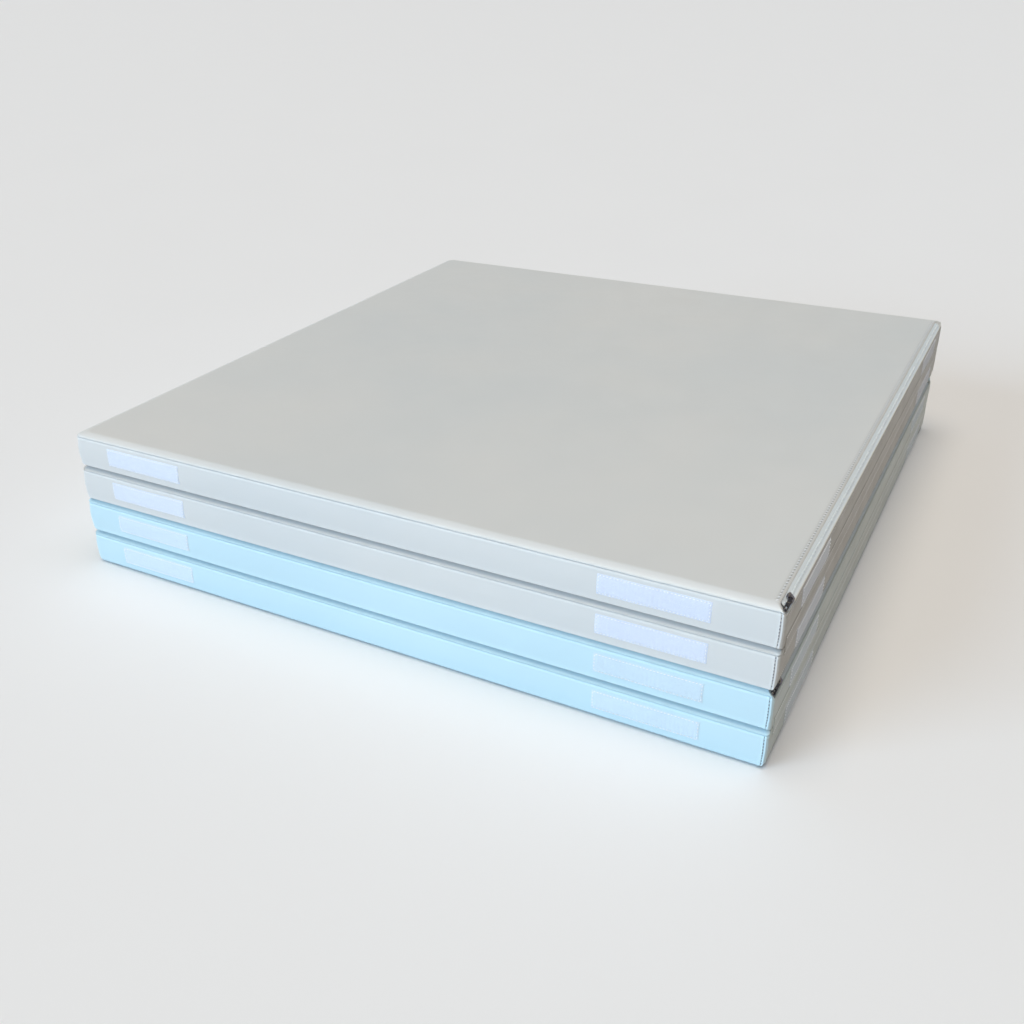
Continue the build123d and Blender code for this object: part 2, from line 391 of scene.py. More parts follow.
def zip_edge(recess):
    """The slanted edge, with a recess that the zip lies in and a hem on each side of it."""
    lip = ZIP_OPENING / 2
    hem = [(-lip - 3.2 * MM, 0.1 * MM), (-lip - 1.6 * MM, HEM_RISE), (-lip - 0.4 * MM, HEM_RISE)]
    wall = [(-lip, 0.5 * HEM_RISE), (-lip + 0.02 * MM, -0.3 * recess), (-lip + 0.1 * MM, -recess)]
    floor = [(across, -recess) for across in np.linspace(-lip + 1.5 * MM, lip - 1.5 * MM, 4)]
    half = hem + wall
    other = [(-across, out) for across, out in reversed(half)]
    slant = np.array(half + floor + other)
    inset = ZIP_LEG / 2 - (slant[:, 0] + slant[:, 1]) / math.sqrt(2)
    depth = ZIP_LEG / 2 + (slant[:, 0] - slant[:, 1]) / math.sqrt(2)
    beside_hem = HEM_ROW + np.array([1, 0, -1]) * MM
    flat = np.concatenate([np.linspace(EDGE_ZONE, HEM_ROW + 4 * MM, 3), beside_hem])
    flat_dip = np.array([0, 0, 0, 0, HEM_DIP, 0])
    band = beside_hem[::-1]
    band_dip = np.array([0, HEM_DIP, 0])
    rest = EDGE_POINTS - len(flat) - len(slant) - len(band)
    below = np.linspace(HEM_ROW + 2 * MM, HEM_ROW + 2.5 * MM, rest)
    inset = np.concatenate([flat, np.maximum(inset, -0.1 * MM), band_dip, np.zeros(rest)])
    depth = np.concatenate([flat_dip, np.maximum(depth, 0), band, below])
    return inset, depth


def edge_profile(panel, side, high):
    kind = edge_kind(panel, side, high)
    if kind == "zip":
        return zip_edge(SHUT_RECESS if side == "right_end" else ZIP_RECESS)
    if kind == "square":
        return square_edge(FOLD_EDGE_RADII["left" if side == "left" else "right"])
    if high:
        slant = 0.0 if panel == 1 else PRESSED_SLANT
        return roll_edge(TOP_ROLLS[panel], SEAM_DROP - 0.6 * MM, True, slant)
    return roll_edge(*(LEFT_BOTTOM_ROLL if side == "left" else BOTTOM_ROLLS[panel]), seam=False)


def side_profile(panel, side, thickness):
    """(inset, height) of one side, from the top's edge zone round to the underside's."""
    top_inset, top_depth = edge_profile(panel, side, True)
    low_inset, low_depth = edge_profile(panel, side, False)
    upper, lower = thickness - top_depth, low_depth
    ends = np.linspace(upper[-1], lower[-1], BAND_POINTS + 2)[1:-1]
    share = (ends - lower[-1]) / (upper[-1] - lower[-1])
    peak = 0.62 if side == "left" else 0.5
    skewed = np.where(share < peak, share / (2 * peak), 0.5 + (share - peak) / (2 * (1 - peak)))
    bulge = -BAND_BULGE["right" if side == "right_end" else side] * np.sin(np.pi * skewed) ** 0.8
    inset = np.concatenate([top_inset, bulge, low_inset[::-1]])
    height = np.concatenate([upper, ends, lower[::-1]])
    if side == "left" and edge_kind(panel, side, True) == "roll":
        inset = inset + LEFT_DRAW * np.maximum(2 * height / thickness - 1, 0) ** 2
    return inset, height


class Cover:
    """The lattice of one panel's cover: stations round the panel by rows down its sides."""

    def __init__(self, panel):
        self.panel = panel
        self.low, self.high = panel_box(panel)
        self.thickness = self.high[2] - self.low[2]
        self.outline = Outline(self.high[0], self.high[1])
        open_zip = self.blended_profiles(SIDES)
        shut_end = self.blended_profiles(("front", "right_end", "back", "left"))
        lie = np.abs(self.outline.points[:, [1]] + open_zip[0] * self.outline.moves[:, [1]])
        self.past_zip = smoothstep((lie - self.high[1] + ZIP_END_MARGIN) / ZIP_CLOSING)
        self.inset, self.height = open_zip + self.past_zip * (shut_end - open_zip)
        self.add_corner_seams()
        self.add_puckers()
        self.add_inner_rings()

    def share(self, *sides):
        """How much each station belongs to these sides, as a column."""
        return self.outline.weights[:, [SIDES.index(side) for side in sides]].sum(1)[:, None]

    def blended_profiles(self, sides):
        """Insets and heights at every station, eased from side to side round the corners."""
        profiles = np.array([side_profile(self.panel, side, self.thickness) for side in sides])
        return np.einsum("sn,nkc->ksc", self.outline.weights, profiles)

    def add_corner_seams(self):
        """Upright seams where the front and back bands meet the right band."""
        side_rows = smoothstep((self.thickness - SEAM_DROP - self.height + 1 * MM) / (2 * MM))
        side_rows *= smoothstep((EDGE_ZONE * 0.4 - self.inset) / (5 * MM))
        for station in self.outline.corner_seams:
            offset = self.outline.along - self.outline.along[station]
            self.inset += side_rows * 0.8 * groove(offset)[:, None]

    def add_puckers(self):
        """Small gathers of the top sheet along its seam and of the bands under it."""
        along, loop = self.outline.along, self.outline.length
        waves = wobble(along, 42 * MM, 10 + self.panel, loop)
        waves = waves + 0.6 * wobble(along, 19 * MM, 20 + self.panel, loop)
        seam = self.thickness - SEAM_DROP
        near = np.exp(-np.abs(self.height - seam) / (5 * MM))
        near *= np.exp(-np.maximum(self.inset, 0) / (9 * MM))
        rolled = self.share("front", "back")
        self.inset += 0.16 * MM * waves[:, None] * near * rolled
        swell = wobble(along, 120 * MM, 30 + self.panel, loop)[:, None]
        middle = np.sin(np.pi * np.clip(self.height / self.thickness, 0, 1)) ** 2
        self.inset -= 0.6 * MM * swell * middle * rolled * smoothstep(1 - self.inset / (10 * MM))
        self.height += 0.25 * MM * wobble(along, 160 * MM, 40 + self.panel, loop)[:, None] * near * rolled

    def add_inner_rings(self):
        rings = np.tile(INNER_RINGS, (len(self.inset), 1))
        self.inset = np.hstack([rings[:, ::-1], self.inset, rings])
        top = np.full(rings.shape, self.thickness)
        self.height = np.hstack([top, self.height, np.zeros(rings.shape)])

    def positions(self):
        flat = self.outline.points[:, None] + self.inset[:, :, None] * self.outline.moves[:, None]
        height = np.clip(self.height, 0, self.thickness) + self.low[2]
        return np.concatenate([flat, height[:, :, None]], axis=2)

    def faces(self):
        rows, columns = self.inset.shape
        faces = grid_faces(rows, columns, wrap=True)
        faces.append(tuple(i * columns for i in range(rows)))
        faces.append(tuple(i * columns + columns - 1 for i in reversed(range(rows))))
        return faces


# ---- cloth simulation


def sparse_stations(along):
    """Station numbers about one simulation gap apart."""
    chosen = [0]
    for index in range(1, len(along)):
        if along[index] - along[chosen[-1]] >= SIM_STATION_GAP:
            chosen.append(index)
    return np.array(chosen)


def held_weights(cover, stations, columns):
    """How firmly the cloth is held: at the sewn seams, at its ends and where panels press on it."""
    seam_height = cover.thickness - SEAM_DROP
    height, inset = cover.height[np.ix_(stations, columns)], cover.inset[np.ix_(stations, columns)]
    held = bell(height - seam_height, 1.5 * MM) * (inset < 4 * MM)
    held[:, [0, -1]] = 1
    held = np.maximum(held, RIGHT_HOLD * cover.share("right")[stations])
    pressed = height < PRESSED_FOOT
    if cover.panel > 1:
        pressed |= height > seam_height
    return np.maximum(held, PRESSED_HOLD * pressed)


def add_group(cloth, name, weights):
    group = cloth.vertex_groups.new(name=name)
    for index, weight in enumerate(weights):
        group.add([index], float(weight), "REPLACE")


def add_cloth(cloth):
    """Coated cloth: stiff to pull, easy to bend, pushed out from inside, with no gravity."""
    modifier = cloth.modifiers.new("cloth", "CLOTH")
    settings = modifier.settings
    settings.quality = 6
    settings.mass = 0.4
    settings.tension_stiffness = settings.compression_stiffness = 25
    settings.shear_stiffness = 12
    settings.bending_stiffness = 0.8
    settings.use_pressure = True
    settings.uniform_pressure_force = SIM_PRESSURE
    settings.vertex_group_mass = "held"
    settings.vertex_group_shrink = "slack"
    settings.shrink_min, settings.shrink_max = 0.0, SIM_SLACK
    settings.effector_weights.gravity = 0
    modifier.point_cache.frame_start, modifier.point_cache.frame_end = 1, SIM_FRAMES


def simulated_shift(cover, places, first, last):
    """How far the cloth moves under the foam's push: a coarse copy of the edge bands, simulated.

    first and last are the columns at which the cloth ends.
    """
    stations = sparse_stations(cover.outline.along)
    columns = np.unique(np.append(np.arange(first, last + 1, SIM_COLUMN_STEP), last))
    start = places[np.ix_(stations, columns)]
    rows, count = start.shape[:2]
    cloth = new_piece(f"cloth_{cover.panel}", start, grid_faces(rows, count, wrap=True))
    middle = cloth.data.polygons[count // 2]
    if middle.normal.dot(middle.center - Vector((0, 0, middle.center.z))) < 0:
        cloth.data.flip_normals()
    add_group(cloth, "held", held_weights(cover, stations, columns).ravel())
    add_group(cloth, "slack", np.random.default_rng(500 + cover.panel).random(rows * count))
    add_cloth(cloth)
    for step in range(1, SIM_FRAMES + 1):
        bpy.context.scene.frame_set(step)
    result = cloth.evaluated_get(bpy.context.evaluated_depsgraph_get())
    settled = np.empty(rows * count * 3)
    result.data.vertices.foreach_get("co", settled)
    bpy.context.scene.frame_set(1)
    bpy.data.objects.remove(cloth)
    return stations, columns, capped(settled.reshape(rows, count, 3) - start)


def capped(shift):
    """Shifts shortened to the cap, and eased between neighbours."""
    length = np.linalg.norm(shift, axis=2, keepdims=True)
    shift = shift * SIM_CAP * np.tanh(length / SIM_CAP) / np.maximum(length, 1e-9)
    for axis in (0, 1):
        ahead, behind = np.roll(shift, -1, axis), np.roll(shift, 1, axis)
        if axis == 1:
            ahead[:, -1], behind[:, 0] = shift[:, -1], shift[:, 0]
        shift = 0.5 * shift + 0.25 * (ahead + behind)
    return shift


def spread_shift(cover, stations, columns, shift):
    """The coarse shift, read at every station and column of the full lattice."""
    along, loop = cover.outline.along, cover.outline.length
    known = np.append(along[stations], loop)
    wide = np.concatenate([shift, shift[:1]])
    every = np.arange(cover.inset.shape[1])
    full = np.zeros((len(along), len(every), 3))
    for axis in range(3):
        rows = [np.interp(every, columns, row, left=0, right=0) for row in wide[:, :, axis]]
        for column, values in enumerate(np.transpose(rows)):
            full[:, column, axis] = np.interp(along, known, values)
    return full


# ---- covers


def hem_line(cover):
    """1 along the two rows of stitches beside the zip."""
    rings = len(INNER_RINGS)
    past_zip = np.pad(cover.past_zip, ((0, 0), (rings, rings)), mode="edge")
    from_edge = cover.thickness - cover.height if zip_is_high(cover.panel) else cover.height
    hem = bell(cover.inset - HEM_ROW, MM) * (from_edge < 1 * MM)
    hem += bell(from_edge - HEM_ROW, MM) * (cover.inset < 1 * MM)
    return hem * cover.share("right") * (1 - past_zip)


def painted_crevice_shade(cover):
    """Painted shade where panels press on each other: dark creases on the faces and along the foot of each
    panel, in the crevices.
    """
    upper_face = cover.height > cover.thickness / 2
    pressed = np.where(upper_face, cover.panel in (2, 4), cover.panel in (1, 3))
    reach = np.where(upper_face, TOP_ROLLS[cover.panel], BOTTOM_ROLLS[cover.panel][0])
    crease_shade = smoothstep((cover.inset - 0.8 * reach) / (0.25 * reach)) * np.exp(-cover.inset / (9 * MM))
    foot_shade = smoothstep((3.4 * MM - cover.height) / (1.2 * MM)) * smoothstep(cover.inset / (1.2 * MM))
    return CREASE_SHADE * crease_shade * pressed + FOOT_SHADE[cover.panel] * foot_shade * (cover.inset < 12 * MM)


def cover_marks(cover):
    """Per vertex: how dark its seam is, with painted shade in the crevices; how much rubbed wear and
    painted highlight; and how much painted shade it gets as part of the right side band.
    """
    left_rolls = edge_kind(cover.panel, "left", True) == "roll"
    rolled = cover.share("front", "back") + cover.share("left") * left_rolls
    from_seam = cover.height - (cover.thickness - SEAM_DROP)
    line = SEAM_MARK * bell(from_seam, 0.36 * MM) * rolled * (cover.inset < 4 * MM)
    # painted shade in the crevices is added to the seam and hem lines
    line = line + HEM_MARK * hem_line(cover) + painted_crevice_shade(cover) * rolled
    # lighter near the seam lips and low on the bands: rubbed wear and a painted highlight
    edge = bell(np.abs(from_seam) - LIP_REACH, 0.9 * MM) + 0.5 * bell(cover.height - 4 * MM, 3 * MM)
    edge = edge * (cover.inset < TOP_ROLLS[cover.panel])
    # painted shade on the right side band, in from its edges
    side = cover.share("right") * (cover.inset < SIDE_SHADE_REACH[cover.panel])
    return {"seam": line, "wear": np.clip(edge, 0, 1), "side_band": side}


def build_cover(panel, material):
    cover = Cover(panel)
    places = cover.positions()
    rings = len(INNER_RINGS)
    held = simulated_shift(cover, places, rings, cover.inset.shape[1] - rings - 1)
    places += spread_shift(cover, *held)
    places[:, :, 0] = np.maximum(places[:, :, 0], cover.low[0] - LEFT_REACH)
    places[:, :, 2] = np.clip(places[:, :, 2], cover.low[2], cover.high[2])
    piece = new_piece(f"panel_{panel}_cover", places, cover.faces(), material)
    for attribute, values in cover_marks(cover).items():
        paint(piece, attribute, values)
    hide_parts(f"panel_{panel}_foam_core", *(f"panel_{panel}_{name}" for name in COVER_PIECES))
    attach(piece, f"panel_{panel}")
    return cover, piece


# ---- stitches


def stitch(middle, along, out, length, radius):
    """One stitch: a short rounded thread that dips into the cloth at both ends."""
    along, out = along / np.linalg.norm(along), out / np.linalg.norm(out)
    across = np.cross(along, out)
    sides, rings = 6, 5
    angles = np.arange(sides) * 2 * np.pi / sides
    vertices = []
    for t in np.linspace(-1, 1, rings):
        thick = radius * math.sqrt(max(0.12, 1 - t * t))
        centre = middle + along * (t * length / 2) + out * radius * (0.55 - 1.1 * t * t)
        for angle in angles:
            vertices.append(centre + thick * (math.cos(angle) * across + math.sin(angle) * out))
    return np.array(vertices), tube_faces(rings, sides)


def surface_of(piece):
    vertices = [v.co for v in piece.data.vertices]
    return BVHTree.FromPolygons(vertices, [tuple(p.vertices) for p in piece.data.polygons])


def touch(surface, start, toward, reach=30 * MM):
    """Where a straight look from start meets the cover, and which way the cover faces there."""
    toward = Vector(toward).normalized()
    place, normal, _, _ = surface.ray_cast(Vector(start), toward, reach)
    if place is None:
        return None, None
    if normal.dot(toward) > 0:
        normal = -normal
    return np.array(place), np.array(normal)


def sewn_line(surface, starts, toward, tilt, length, radius):
    """Stitches on the cover under each start point; tilt is their direction in space."""
    parts = []
    for start in starts:
        place, normal = touch(surface, start, toward)
        if place is None:
            continue
        tangent = tilt - normal * np.dot(tilt, normal)
        parts.append(stitch(place, tangent, normal, length, radius))
    return parts


def hem_stitches(cover, surface):
    """Rows of stitches that hold the zip's tapes: one on the flat face, one on the side band."""
    up = 1.0 if zip_is_high(cover.panel) else -1.0
    face_z = cover.high[2] if up > 0 else cover.low[2]
    half = cover.high[1] - ZIP_END_MARGIN
    flat_x, flat_z = cover.high[0] - ZIP_LEG - HEM_SETBACK, face_z + up * HEM_CLEAR
    starts = [(flat_x, y, flat_z) for y in np.arange(-half, half, HEM_PITCH)]
    slant = np.array([1.0, 0.8, 0.0])
    flat_row = sewn_line(surface, starts, (0, 0, -up), slant, 4.4 * MM, 0.5 * MM)
    side_z = face_z - up * ZIP_LEG - up * HEM_SETBACK
    starts = [(cover.high[0] + CLEAR, y, side_z) for y in np.arange(-half, half, CORNER_PITCH)]
    side_row = sewn_line(surface, starts, (-1, 0, 0), ALONG, 2.9 * MM, 0.26 * MM)
    return flat_row + side_row


def corner_stitches(cover, surface):
    """Upright rows beside the corner seams, on the front and the back."""
    parts = []
    x = cover.high[0] - CORNER_RADII[0]
    heights = np.arange(cover.low[2] + 7 * MM, cover.high[2] - SEAM_DROP - 2 * MM, CORNER_PITCH)
    for side in (-1, 1):
        y = side * (cover.high[1] + CLEAR)
        starts = [(x, y, z) for z in heights]
        parts += sewn_line(surface, starts, (0, -side, 0), np.array([0, 0, 1.0]), 2.4 * MM, 0.42 * MM)
    return parts


def add_stitches(name, parts, material, panel):
    piece = joined_piece(name, parts, material)
    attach(piece, f"panel_{panel}")


# ---- joining strips


def strip_spots(panel, kind):
    """(low corner, high corner, outward direction) of each strip of a kind, from the CAD solids."""
    node = frame["nodes"][f"panel_{panel}_{kind}_strips"]
    work = bmesh.new()
    work.from_mesh(node.data)
    bmesh.ops.remove_doubles(work, verts=work.verts, dist=0.01 * MM)
    seen, spots = set(), []
    for seed in work.verts:
        if seed.index in seen:
            continue
        island, queue = [], [seed]
        seen.add(seed.index)
        while queue:
            vertex = queue.pop()
            island.append(vertex.co[:])
            for edge in vertex.link_edges:
                other = edge.other_vert(vertex)
                if other.index not in seen:
                    seen.add(other.index)
                    queue.append(other)
        low, high = np.min(island, axis=0), np.max(island, axis=0)
        axis = int(np.argmin(high - low))
        out = np.zeros(3)
        out[axis] = np.sign((low + high)[axis])
        spots.append((low, high, out))
    work.free()
    return spots


def hook_relief(u, rng):
    """Close rows of small hooks."""
    rows = 0.5 + 0.5 * np.sin(u / (1.3 * MM) * np.pi * 0.5)
    return 0.22 * MM * rows + 0.16 * MM * rng.random(u.shape)


def loop_relief(u, v, rng):
    """Matted loops, crumpled here and there."""
    crumple = wobble(u + 0.6 * v, 17 * MM, 5) * wobble(v - 0.3 * u, 12 * MM, 6)
    return 0.3 * MM * rng.random(u.shape) + 0.22 * MM * crumple


def strip_part(surface, low, high, out, kind, seed):
    """One strip: a thin pad of hooks or loops on the cover, its border sewn down."""
    rng = np.random.default_rng(seed)
    axis = int(np.argmax(np.abs(out)))
    run = 1 - axis
    length, height = (high - low)[run], (high - low)[2]
    rows, columns = int(length / STRIP_GRID) + 1, int(height / STRIP_GRID) + 1
    u, v = np.meshgrid(np.linspace(0, length, rows), np.linspace(0, height, columns), indexing="ij")
    border = np.minimum.reduce([u, length - u, v, height - v])
    rim = border < STRIP_RIM
    rise = STRIP_RISE * smoothstep(border / STRIP_EDGE) - 0.45 * MM * rim
    relief = hook_relief(u, rng) if kind == "hook" else loop_relief(u, v, rng)
    channel = bell(border - STRIP_SEWING, 0.7 * MM)
    sewn = 0.55 if kind == "hook" else 0.25
    rise += smoothstep(border / (2 * STRIP_EDGE)) * relief - sewn * MM * channel
    ragged = 0.3 * MM if kind == "hook" else 0.8 * MM
    u = u + ragged * wobble(v + u, 9 * MM, seed) * rim
    v = v + 0.6 * ragged * wobble(u, 11 * MM, seed + 1) * rim
    places, base = np.zeros((2, rows, columns, 3))
    for i in range(rows):
        for j in range(columns):
            start = low.copy()
            start[run] += u[i, j]
            start[2] += v[i, j]
            start[axis] = out[axis] * (abs(start[axis]) + CLEAR)
            place, _ = touch(surface, start, -out)
            places[i, j] = place + out * rise[i, j]
            base[i, j] = place - out * 0.5 * MM
    return slab_mesh(places, base)


def strip_stitch_parts(surface, low, high, out):
    """Stitches round the border of one strip."""
    axis = int(np.argmax(np.abs(out)))
    run = 1 - axis
    corners = []
    for end_run, end_up in ((0, 0), (1, 0), (1, 1), (0, 1)):
        corner = np.zeros(3)
        corner[run] = high[run] - STRIP_SEWING if end_run else low[run] + STRIP_SEWING
        corner[2] = high[2] - STRIP_SEWING if end_up else low[2] + STRIP_SEWING
        corner[axis] = out[axis] * (abs(low[axis]) + CLEAR)
        corners.append(corner)
    parts = []
    for a, b in zip(corners, corners[1:] + corners[:1]):
        count = max(2, int(np.linalg.norm(b - a) / STRIP_PITCH))
        starts = [a + (b - a) * (k + 0.5) / count for k in range(count)]
        parts += sewn_line(surface, starts, -out, b - a, 0.62 * STRIP_PITCH, 0.55 * MM)
    return parts


def build_strips(panel, kind, cover_surface, material, thread):
    cover_x = panel_box(panel)[1][0]
    parts, stitches = [], []
    for index, (low, high, out) in enumerate(strip_spots(panel, kind)):
        part = strip_part(cover_surface, low, high, out, kind, 100 * panel + 10 * index + len(kind))
        parts.append(part)
        strip_surface = BVHTree.FromPolygons([Vector(v) for v in part[0]], part[1])
        stitches += strip_stitch_parts(strip_surface, low, high, out)
    piece = joined_piece(f"panel_{panel}_{kind}_pads", parts, material)
    # strips on the right side get painted shade
    paint(piece, "side_band", [v.co.x > cover_x - 5 * MM for v in piece.data.vertices])
    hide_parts(f"panel_{panel}_{kind}_strips")
    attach(piece, f"panel_{panel}")
    add_stitches(f"panel_{panel}_{kind}_stitches", stitches, thread, panel)


# ---- zip


class ZipLine:
    """Places on a panel's zip: across the tapes, along them, and out from the slanted edge."""

    def __init__(self, cover):
        up = 1 if zip_is_high(cover.panel) else -1
        edge_z = cover.high[2] if up > 0 else cover.low[2]
        self.origin = np.array([cover.high[0] - ZIP_LEG / 2, 0, edge_z - up * ZIP_LEG / 2])
        self.across = np.array([1, 0, -up]) / math.sqrt(2)
        self.out = np.array([1, 0, up]) / math.sqrt(2)
        self.half = cover.high[1] - ZIP_END_MARGIN

    def at(self, across, along, out):
        across, along, out = np.broadcast_arrays(across, along, out)
        return (self.origin + across[..., None] * self.across + along[..., None] * ALONG
                + out[..., None] * self.out)


def build_tapes(zip_line, panel, material):
    parts = []
    along = np.arange(-zip_line.half, zip_line.half, 3 * MM)
    across = np.linspace(TAPE_SLIT, TAPE_EDGE, TAPE_COLUMNS)
    ribs = np.where(np.arange(TAPE_COLUMNS) % 2, 0.05 * MM, -0.05 * MM)
    for side in (-1, 1):
        a, b = np.meshgrid(side * across, along, indexing="ij")
        wave = 0.12 * MM * wobble(b, 60 * MM, 70 + panel + side) * (np.abs(a) / TAPE_EDGE)
        face = -TAPE_SINK + ribs[:, None] * np.ones_like(a) + wave
        parts.append(slab_mesh(zip_line.at(a, b, face), zip_line.at(a, b, face - TAPE_THICKNESS)))
    piece = joined_piece(f"panel_{panel}_woven_tapes", parts, material)
    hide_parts(f"panel_{panel}_zip_tape")
    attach(piece, f"panel_{panel}")


def coil_loop(zip_line, side, y):
    """One turn of the coil: out from its tape, over the middle and back under."""
    turn = np.linspace(0, np.pi, 7)
    reach = COIL_HALF_WIDTH - (COIL_HALF_WIDTH + 0.45 * MM) * np.sin(turn)
    rise = 0.25 * MM + COIL_RISE * 0.5 * (1 - np.cos(turn))
    slip = (0.5 - turn / np.pi) * COIL_PITCH * 0.5
    centres = zip_line.at(side * reach, y + slip, rise)
    sides = 5
    angles = np.arange(sides) * 2 * np.pi / sides
    tangents = np.gradient(centres, axis=0)
    vertices = []
    for centre, tangent in zip(centres, tangents):
        tangent = tangent / np.linalg.norm(tangent)
        first = ALONG - tangent * tangent[1]
        first /= np.linalg.norm(first)
        second = np.cross(tangent, first)
        for angle in angles:
            vertices.append(centre + COIL_WIRE * (math.cos(angle) * first + math.sin(angle) * second))
    return np.array(vertices), tube_faces(len(centres), sides)


def build_coil(zip_line, panel, material):
    parts = []
    reach = zip_line.half - STOP_MARGIN
    for y in np.arange(-reach, reach, COIL_PITCH):
        parts.append(coil_loop(zip_line, -1, y))
        parts.append(coil_loop(zip_line, 1, y + COIL_PITCH / 2))
    piece = joined_piece(f"panel_{panel}_coil_turns", parts, material)
    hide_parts(f"panel_{panel}_zip_coil")
    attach(piece, f"panel_{panel}")


# ---- fold hinges


def hinge_band(seed, along, side, face, axis_z):
    """The band's vertices and faces: on the sides of both panels, dented at the fold."""
    inner_steps = np.linspace(-HINGE_BLEND, HINGE_BLEND, 13)
    outer_steps = np.linspace(HINGE_BLEND, HINGE_REACH, 8)[1:]
    heights = np.concatenate([-outer_steps[::-1], inner_steps, outer_steps])
    y, dz = np.meshgrid(along, heights, indexing="ij")
    edge = np.minimum(HINGE_REACH - np.abs(dz), np.minimum(y - along[0], along[-1] - y))
    out = HINGE_LIFT - 0.25 * MM * (1 - smoothstep(edge / (1.2 * MM)))
    out -= 0.35 * MM * bell(dz, 1.3 * MM)
    out += 0.05 * MM * wobble(y, 35 * MM, seed)
    outer = np.stack([side * (face + out), y, axis_z + dz], axis=2)
    return slab_mesh(outer, outer - np.array([side * HINGE_THICKNESS, 0, 0]))


def hinge_stitches(along, side, face, height):
    """A row of stitches along one edge of a band."""
    x, out = side * (face + 0.58 * MM), np.array([side, 0, 0])
    lie = np.arange(along[0] + 3 * MM, along[-1] - 3 * MM, CORNER_PITCH)
    return [stitch(np.array([x, y, height]), ALONG, out, 2.8 * MM, 0.26 * MM) for y in lie]


def build_hinge(joint, covers, material, thread):
    """A band of cover material over a fold, sewn to the sides of both panels."""
    node = joint["deforming_nodes"][0]["node"]
    upper, lower = int(joint["child"][-1]), int(joint["parent"][-1])
    low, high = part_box(node)
    along = np.arange(low[1], high[1], STATION_STEP)
    side, axis_z = np.sign(joint["pos_m"][0]), joint["pos_m"][2]
    face = covers[upper].high[0]
    vertices, faces = hinge_band(80 + upper, along, side, face, axis_z)
    piece = new_piece(f"{node}_band", vertices, faces, material)
    # hinge bands have no seam or wear marks; the one on the right gets the right side's painted shade
    for mark, level in (("seam", 0), ("wear", 0), ("side_band", side > 0)):
        paint(piece, mark, np.full(len(vertices), float(level)))
    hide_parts(node)
    for panel, up in ((upper, 1), (lower, -1)):
        row = hinge_stitches(along, side, face, axis_z + up * (HINGE_REACH - 1.7 * MM))
        add_stitches(f"panel_{panel}_{node}_stitches", row, thread, panel)
    if side > 0:
        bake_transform(piece)
    else:
        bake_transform(piece)


# ---- materials


class Nodes:
    """Makes and joins the nodes of one tree. They read the coordinates of one kind."""

    def __init__(self, tree, coordinates):
        self.tree = tree
        self.place = self.new("TexCoord").outputs[coordinates]

    def new(self, kind, **settings):
        node = self.tree.nodes.new("ShaderNode" + kind)
        for name, value in settings.items():
            setattr(node, name, value)
        return node

    def feed(self, node, inputs):
        """Joins outputs to a node's inputs, or sets the inputs to values."""
        for key, value in inputs.items():
            socket = node.inputs[key]
            if isinstance(value, bpy.types.NodeSocket):
                self.tree.links.new(value, socket)
            elif socket.type == "RGBA":
                socket.default_value = (*value, 1)
            else:
                socket.default_value = value
        return node.outputs

    def texture(self, kind, output, place=None, **inputs):
        return self.feed(self.new("Tex" + kind), {"Vector": place or self.place, **inputs})[output]

    def stretched(self, scale):
        return self.feed(self.new("Mapping"), {"Vector": self.place, "Scale": scale})["Vector"]

    def noise(self, scale, detail=3, place=None):
        return self.texture("Noise", "Fac", place, Scale=scale, Detail=detail)

    def cells(self, scale):
        return self.texture("Voronoi", "Distance", Scale=scale)

    def wave(self, scale, direction, distortion):
        node = self.new("TexWave", bands_direction=direction)
        return self.feed(node, {"Vector": self.place, "Scale": scale, "Distortion": distortion})["Fac"]

    def mark(self, name):
        return self.new("Attribute", attribute_name=name).outputs["Fac"]

    def math(self, operation, first, second):
        return self.feed(self.new("Math", operation=operation), {0: first, 1: second})[0]

    def times(self, first, second):
        return self.math("MULTIPLY", first, second)

    def ranged(self, source, low, high, start=0.3, end=0.7, ease="LINEAR"):
        """source from start to end becomes low to high."""
        ends = {"From Min": start, "From Max": end, "To Min": low, "To Max": high}
        return self.feed(self.new("MapRange", interpolation_type=ease), {"Value": source, **ends})["Result"]

    def patches(self, scale, detail, low, high):
        """Soft random patches between two levels."""
        return self.ranged(self.noise(scale, detail), low, high)

    def mix(self, factor, first, second):
        return self.feed(self.new("Mix", data_type="RGBA"), {0: factor, 6: first, 7: second})[2]


class Finish(Nodes):
    """A node material on one Principled shader, textured in the object's own coordinates."""

    def __init__(self, name, color, **shading):
        self.material = bpy.data.materials.new(name)
        self.material.use_nodes = True
        super().__init__(self.material.node_tree, "Object")
        self.color = color
        self.bump = None
        self.set(Base_Color=color, **shading)

    def set(self, **inputs):
        """Feeds the shader; an underscore stands for the space in an input's name."""
        inputs = {name.replace("_", " "): value for name, value in inputs.items()}
        self.feed(self.tree.nodes["Principled BSDF"], inputs)

    def shade(self, level):
        return tuple(min(1.0, channel * level) for channel in self.color)

    def set_roughness(self, scale, detail, low, high):
        self.set(Roughness=self.patches(scale, detail, low, high))

    def add_bump(self, height, distance, strength=1.0):
        below = {"Normal": self.bump} if self.bump else {}
        inputs = {"Distance": distance, "Strength": strength, "Height": height, **below}
        self.bump = self.feed(self.new("Bump"), inputs)["Normal"]
        self.set(Normal=self.bump)


